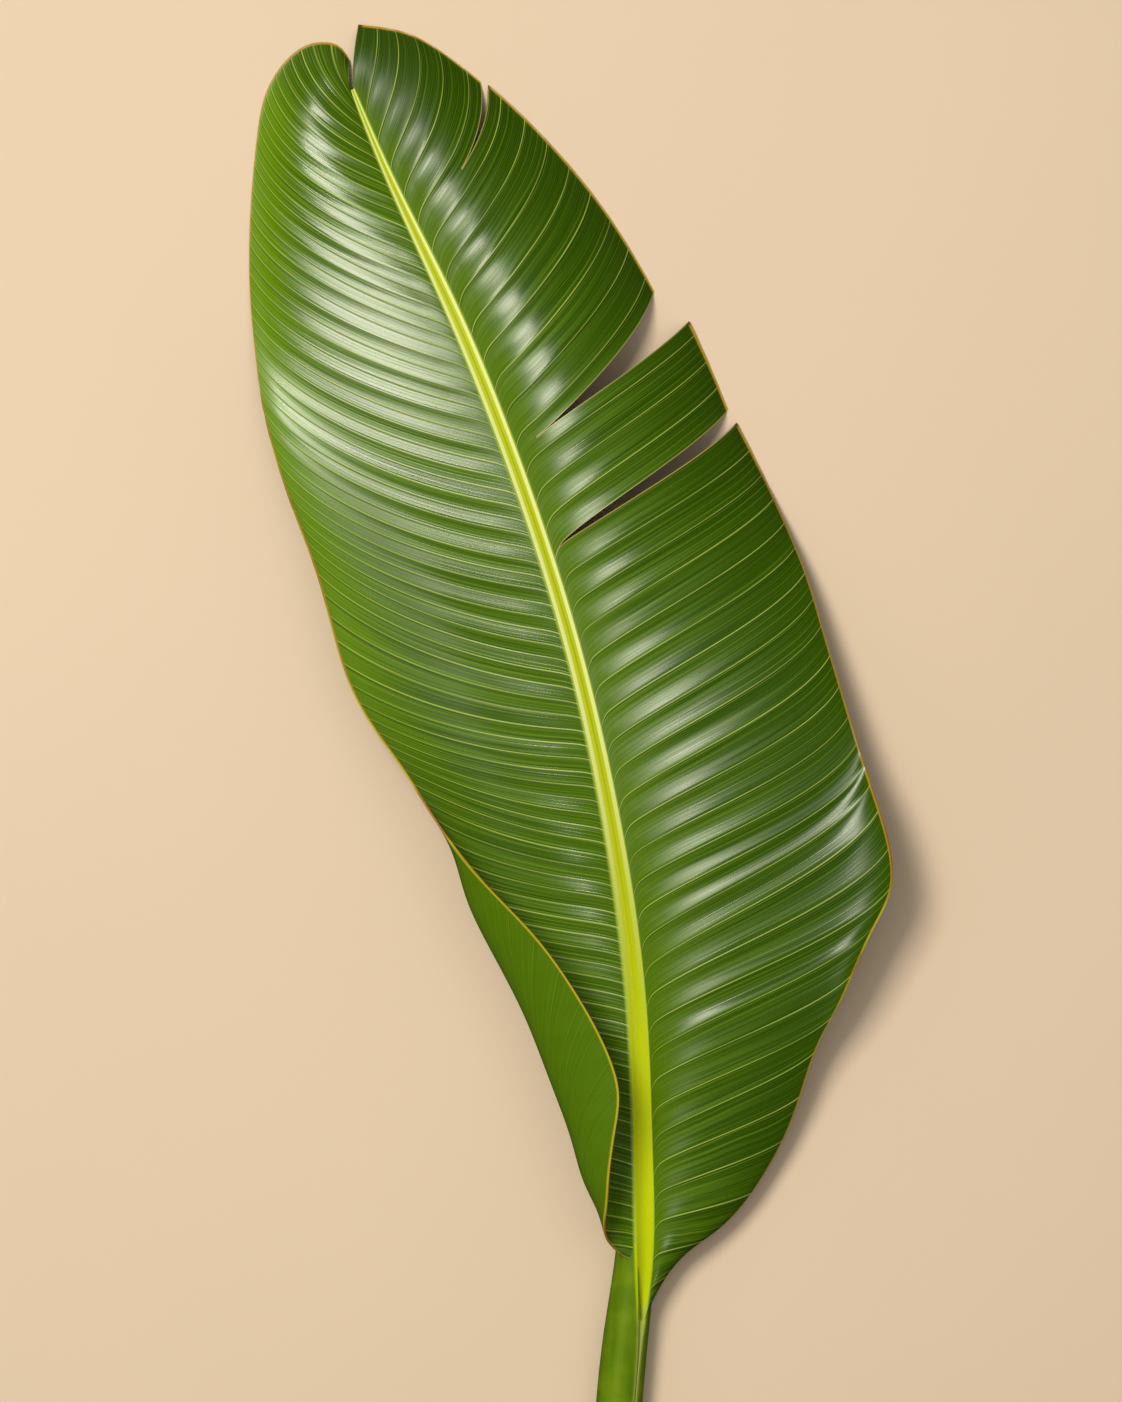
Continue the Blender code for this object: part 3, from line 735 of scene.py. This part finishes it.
def blade_under(name, side, pattern):
    """The duller underside, yellow-green with faint veins, which slant where the lower left edge curls."""
    material, tree, shader = new_material(name)
    pleat, share = number(tree, "pleat"), number(tree, "share")
    veins = put(tree, "ShaderNodeGroup", {}, node_tree=pattern)
    if side < 0:
        reach = sum_of(tree, "SUBTRACT", share, 0.5)
        pleat = sum_of(tree, "MULTIPLY_ADD", reach, ramp(tree, pleat, 14.0, 20.0, -10.0, 0), pleat)
    tree.links.new(pleat, veins.inputs["Pleat"])
    tree.links.new(share, veins.inputs["Share"])
    veins.inputs["Width"].default_value = 1.0
    veins = veins.outputs
    green = blend(tree, veins["Streak"], (0.054, 0.130, 0.0005, 1), (0.092, 0.188, 0.001, 1))
    # The Shade line is painted shadow below each vein; the others are the veins' own colour.
    lines = (
        ("Shade", 0.5, (0.04, 0.10, 0.001, 1)),
        ("Main", 0.5, (0.16, 0.28, 0.01, 1)),
        ("Fine", 0.45, (0.13, 0.25, 0.01, 1)),
    )
    green = lined(tree, green, veins, lines)
    edge = ramp(tree, number(tree, "from_edge"), 0.6, 1.4, 1, 0)
    green = blend(tree, edge, green, (0.46, 0.36, 0.012, 1))
    tree.links.new(green, shader.inputs["Base Color"])
    shader.inputs["Roughness"].default_value = 0.52
    shader.inputs["Specular IOR Level"].default_value = 0.2
    shader.inputs["Specular Tint"].default_value = (1.0, 1.0, 0.4, 1)
    height = sum_of(tree, "MULTIPLY_ADD", veins["Streak"], 0.5, sum_of(tree, "MULTIPLY", veins["Main"], 0.8))
    bump(tree, shader, height, 0.4, 0.0004)
    return material


def blade_rim():
    """The edge of the sheet: a dry yellow line that turns orange-brown in places."""
    material, tree, shader = new_material("blade_rim")
    place = put(tree, "ShaderNodeTexCoord").outputs["Object"]
    patch = put(tree, "ShaderNodeTexNoise", {"Vector": place, "Scale": 28.0, "Detail": 3.0}).outputs["Fac"]
    colour = blend(tree, ramp(tree, patch, 0.42, 0.6), (0.46, 0.40, 0.02, 1), (0.36, 0.15, 0.02, 1))
    tree.links.new(colour, shader.inputs["Base Color"])
    shader.inputs["Roughness"].default_value = 0.55
    shader.inputs["Specular IOR Level"].default_value = 0.15
    bump(tree, shader, patch, 0.3, 0.0003)
    return material


veins_both_faces = vein_pattern()
rim_line = blade_rim()
for word, side in (("left", -1), ("right", 1)):
    points, faces, numbers = half_surface(side, rows_a_pleat=8, columns=84)
    points, faces, looks = thick_sheet(points, faces)
    # The underside's points carry the same values as those above them.
    numbers = {key: np.tile(value, 2) for key, value in numbers.items()}
    upper = blade_upper(f"blade_upper_{word}", side, veins_both_faces)
    under = blade_under(f"blade_under_{word}", side, veins_both_faces)
    skins = (upper, under, rim_line)
    half = piece_from(f"blade_{word}", points, faces, numbers, skins, looks)
    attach(half, "root")
    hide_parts("leaf")


# Floor.
# The plain, pale, matt surface that the leaf lies on. It isn't part of the leaf, and it is kept out of
# the leaf's gloss, which its warm colour would turn brown on the steep margins.
def pale_floor():
    """Warm pale plaster with a barely visible unevenness."""
    material, tree, shader = new_material("pale_floor")
    place = put(tree, "ShaderNodeTexCoord").outputs["Object"]
    cloud = put(tree, "ShaderNodeTexNoise", {"Vector": place, "Scale": 3.0, "Detail": 4.0}).outputs["Fac"]
    plaster = blend(tree, cloud, (0.72, 0.56, 0.39, 1), (0.77, 0.60, 0.43, 1))
    tree.links.new(plaster, shader.inputs["Base Color"])
    shader.inputs["Roughness"].default_value = 0.9
    return material


bpy.ops.mesh.primitive_plane_add(size=8)
floor = bpy.context.object
floor.name = "floor"
floor.data.materials.append(pale_floor())
floor.visible_glossy = False


# Light and camera.
# One broad soft light from the upper left puts the gloss on the left half and beside the rib. A wide
# light overhead and a dim room only lighten the shade. The camera looks straight down, from far enough
# to flatten the view.
def soft_light(name, place, target, size, power, colour):
    """A square area light that faces a point."""
    data = bpy.data.lights.new(name, "AREA")
    data.size = size
    data.energy = power
    data.color = colour
    made = bpy.data.objects.new(name, data)
    made.location = place
    made.rotation_euler = (Vector(target) - Vector(place)).to_track_quat("-Z", "Y").to_euler()
    bpy.context.scene.collection.objects.link(made)
    return made


leaf_middle = (0.0, 0.08, 0.02)
soft_light("key", (-0.80, 0.70, 2.25), leaf_middle, 0.8, 44.0, (1.0, 0.97, 0.90))
ceiling = soft_light("ceiling", (0.2, 0.1, 2.6), leaf_middle, 3.0, 22.0, (1.0, 0.98, 0.94))
ceiling.visible_glossy = False

sky = bpy.data.worlds.new("soft_room")
bpy.context.scene.world = sky
sky.use_nodes = True
sky.node_tree.nodes["Background"].inputs["Color"].default_value = (1.0, 0.98, 0.95, 1)
sky.node_tree.nodes["Background"].inputs["Strength"].default_value = 0.20
sky.cycles_visibility.glossy = False

FRAME_HEIGHT = 0.673  # what the picture's height takes in, in metres
VIEW_CENTRE = (-0.0041, 0.0825)
VIEW_LEVEL = 0.012  # height over the floor at which the picture takes that in
lens, film = 300.0, 36.0
camera_data = bpy.data.cameras.new("camera")
camera_data.lens = lens
camera_data.sensor_width = film
camera = bpy.data.objects.new("camera", camera_data)
camera.location = (*VIEW_CENTRE, VIEW_LEVEL + FRAME_HEIGHT / film * lens)
bpy.context.scene.collection.objects.link(camera)
bpy.context.scene.camera = camera
bpy.context.scene.view_settings.view_transform = "Standard"
